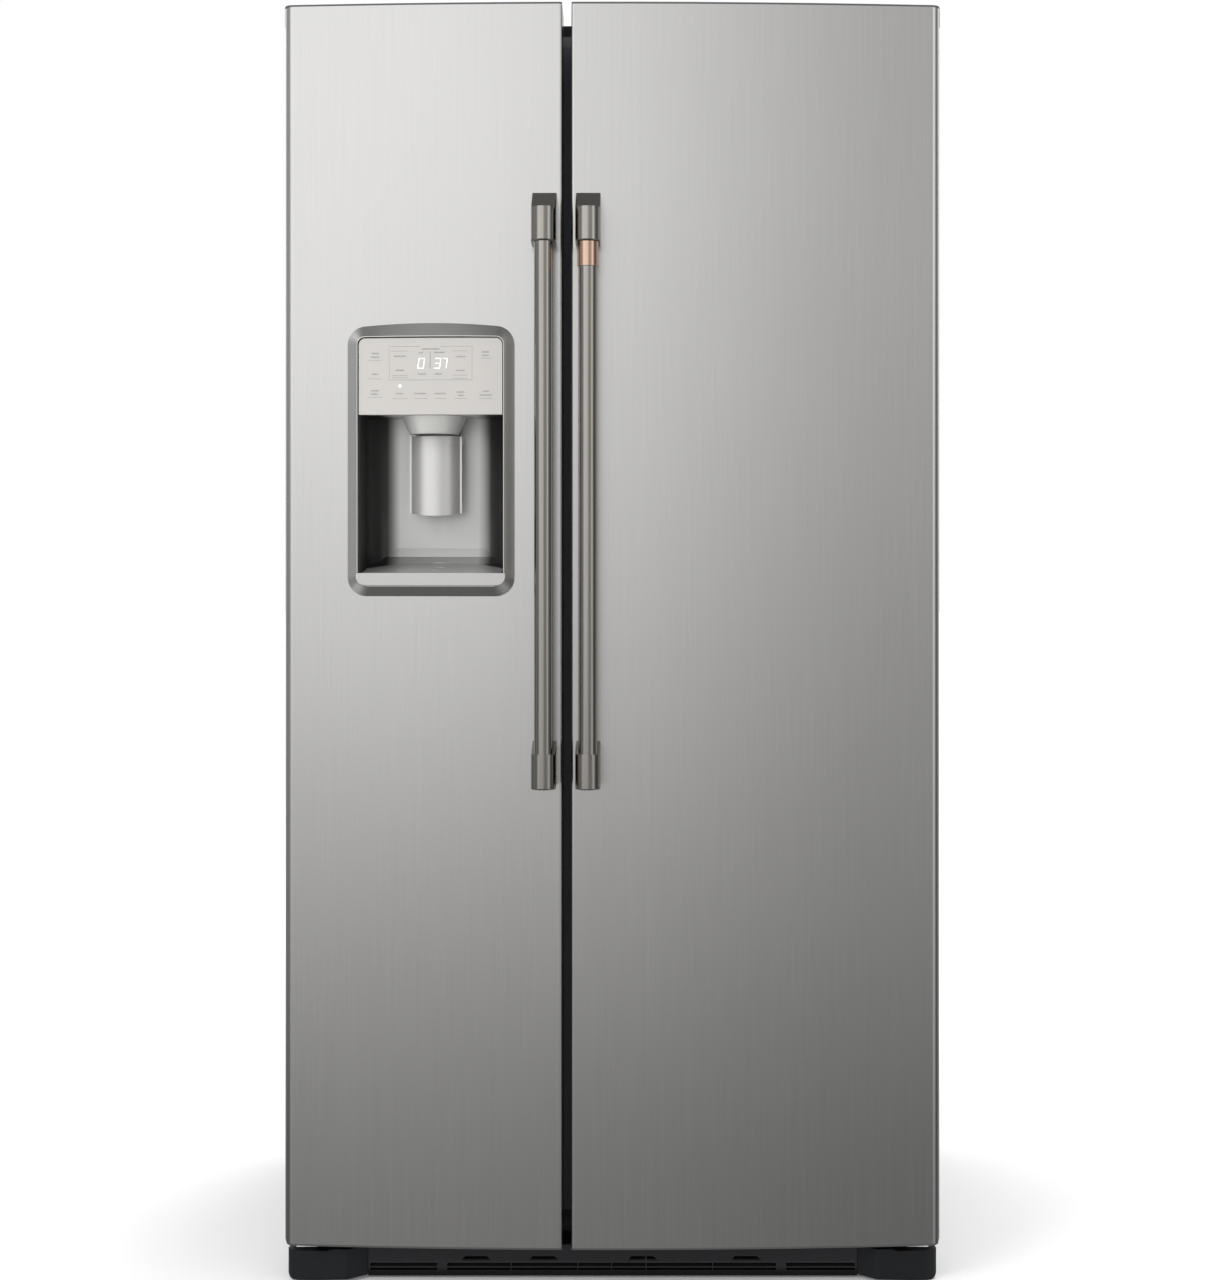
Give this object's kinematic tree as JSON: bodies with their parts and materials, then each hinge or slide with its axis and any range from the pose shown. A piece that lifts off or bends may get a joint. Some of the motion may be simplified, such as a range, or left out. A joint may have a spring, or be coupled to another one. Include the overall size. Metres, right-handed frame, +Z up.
{
  "type": "side by side refrigerator",
  "caption": "Side by side refrigerator: bowed steel doors with bar handles, an ice and water dispenser, drawers, shelves and a toe grille.",
  "frame": {"origin": "on the floor under the middle of the whole appliance", "axes": "+Z up, doors face -Y, +X towards the fresh food side"},
  "size_m": [0.908, 0.794, 1.765],
  "materials": {
    "stainless": "satin",
    "gunmetal": "satin",
    "copper": "satin",
    "case_paint": "satin",
    "zinc_steel": "satin",
    "black_steel": "satin",
    "insulation": "matte",
    "white_liner": "satin",
    "dark_plastic": "matte",
    "cap_plastic": "satin",
    "grey_plastic": "matte",
    "bezel_paint": "satin",
    "panel_face": "satin",
    "recess_plastic": "satin",
    "seal_rubber": "matte",
    "wheel_plastic": "matte",
    "coil_aluminium": "satin",
    "shelf_glass": "gloss",
    "clear_plastic": "gloss",
    "lens_plastic": "satin",
    "shelf_wire": "satin"
  },
  "bodies": {
    "cabinet": {"case_wrapper": "case_paint", "case_back_panel": "zinc_steel", "case_foam": "insulation", "freezer_liner": "white_liner", "fridge_liner": "white_liner", "mullion_rail": "dark_plastic", "top_covers": "dark_plastic", "base_frame": "black_steel", "compressor": "black_steel", "condenser_coil": "coil_aluminium", "condenser_fan_shroud": "grey_plastic", "water_inlet_valve": "grey_plastic", "machine_cover": "zinc_steel", "base_grille": "dark_plastic", "foot_covers": "dark_plastic", "bottom_hinges": "zinc_steel", "top_hinges": "zinc_steel", "evaporator_cover": "white_liner", "evaporator_coil": "coil_aluminium", "ice_maker": "grey_plastic", "ice_bucket": "clear_plastic", "freezer_shelves": "shelf_wire", "fridge_shelf_frames": "white_liner", "fridge_shelf_glass": "shelf_glass", "light_lenses": "lens_plastic"},
    "freezer_door": {"freezer_door_skin": "stainless", "freezer_door_foam": "insulation", "freezer_door_liner": "white_liner", "freezer_door_gasket": "seal_rubber", "freezer_door_caps": "cap_plastic", "freezer_handle_bar": "gunmetal", "freezer_handle_mounts": "gunmetal", "freezer_door_bins": "clear_plastic", "dispenser_bezel": "bezel_paint", "dispenser_recess": "recess_plastic", "control_panel": "panel_face", "drip_tray": "recess_plastic", "ice_chute": "recess_plastic"},
    "fridge_door": {"fridge_door_skin": "stainless", "fridge_door_foam": "insulation", "fridge_door_liner": "white_liner", "fridge_door_gasket": "seal_rubber", "fridge_door_caps": "cap_plastic", "fridge_handle_bar": "gunmetal", "fridge_handle_mounts": "gunmetal", "handle_accent_ring": "copper", "fridge_door_bins": "clear_plastic"},
    "dispenser_paddle": {"dispenser_paddle": "recess_plastic"},
    "dairy_lid": {"dairy_lid": "clear_plastic"},
    "rear_roller_left": {"rear_roller_left": "wheel_plastic"},
    "rear_roller_right": {"rear_roller_right": "wheel_plastic"},
    "leveling_leg_left": {"leveling_leg_left": "zinc_steel"},
    "leveling_leg_right": {"leveling_leg_right": "zinc_steel"},
    "condenser_fan": {"condenser_fan": "grey_plastic"},
    "evaporator_fan": {"evaporator_fan": "grey_plastic"},
    "ice_auger": {"ice_auger": "zinc_steel"},
    "freezer_basket": {"freezer_basket": "shelf_wire"},
    "crisper_lower": {"crisper_lower": "clear_plastic"},
    "crisper_upper": {"crisper_upper": "clear_plastic"},
    "water_filter": {"water_filter": "lens_plastic"}
  },
  "joints": [
    {"name": "freezer_door_hinge", "type": "hinge", "parent": "cabinet", "child": "freezer_door", "pos_m": [-0.432, -0.262, 0.9], "axis": [0, 0, 1], "range_deg": [-120, 0]},
    {"name": "fridge_door_hinge", "type": "hinge", "parent": "cabinet", "child": "fridge_door", "pos_m": [0.432, -0.262, 0.9], "axis": [0, 0, 1], "range_deg": [0, 120]},
    {"name": "paddle_hinge", "type": "hinge", "parent": "freezer_door", "child": "dispenser_paddle", "pos_m": [-0.24595, -0.24304, 1.166], "axis": [0.9988, -0.0482, 0], "range_deg": [0, 10], "stiffness_Nm_per_rad": 0.2, "springref_deg": -5.73},
    {"name": "dairy_lid_hinge", "type": "hinge", "parent": "fridge_door", "child": "dairy_lid", "pos_m": [0.19, -0.124, 1.634], "axis": [1, 0, 0], "range_deg": [0, 85]},
    {"name": "left_roller_spin", "type": "hinge", "parent": "cabinet", "child": "rear_roller_left", "pos_m": [-0.42, 0.33, 0.022], "axis": [1, 0, 0], "continuous": true},
    {"name": "right_roller_spin", "type": "hinge", "parent": "cabinet", "child": "rear_roller_right", "pos_m": [0.42, 0.33, 0.022], "axis": [1, 0, 0], "continuous": true},
    {"name": "left_leg_turn", "type": "hinge", "parent": "cabinet", "child": "leveling_leg_left", "pos_m": [-0.4, -0.19, 0], "axis": [0, 0, 1], "continuous": true},
    {"name": "right_leg_turn", "type": "hinge", "parent": "cabinet", "child": "leveling_leg_right", "pos_m": [0.4, -0.19, 0], "axis": [0, 0, 1], "continuous": true},
    {"name": "condenser_fan_spin", "type": "hinge", "parent": "cabinet", "child": "condenser_fan", "pos_m": [-0.117, 0.29, 0.15], "axis": [1, 0, 0], "continuous": true},
    {"name": "evaporator_fan_spin", "type": "hinge", "parent": "cabinet", "child": "evaporator_fan", "pos_m": [-0.248, 0.316, 1.33], "axis": [0, 1, 0], "continuous": true},
    {"name": "ice_auger_spin", "type": "hinge", "parent": "cabinet", "child": "ice_auger", "pos_m": [-0.25, 0.09, 1.442], "axis": [0, 1, 0], "continuous": true},
    {"name": "freezer_basket_slide", "type": "slide", "parent": "cabinet", "child": "freezer_basket", "axis": [0, -1, 0], "range_m": [0, 0.16]},
    {"name": "crisper_lower_slide", "type": "slide", "parent": "cabinet", "child": "crisper_lower", "axis": [0, -1, 0], "range_m": [0, 0.155]},
    {"name": "crisper_upper_slide", "type": "slide", "parent": "cabinet", "child": "crisper_upper", "axis": [0, -1, 0], "range_m": [0, 0.155]},
    {"name": "water_filter_turn", "type": "hinge", "parent": "cabinet", "child": "water_filter", "pos_m": [0.365, 0.1, 1.655], "axis": [0, 1, 0], "range_deg": [0, 90]}
  ]
}
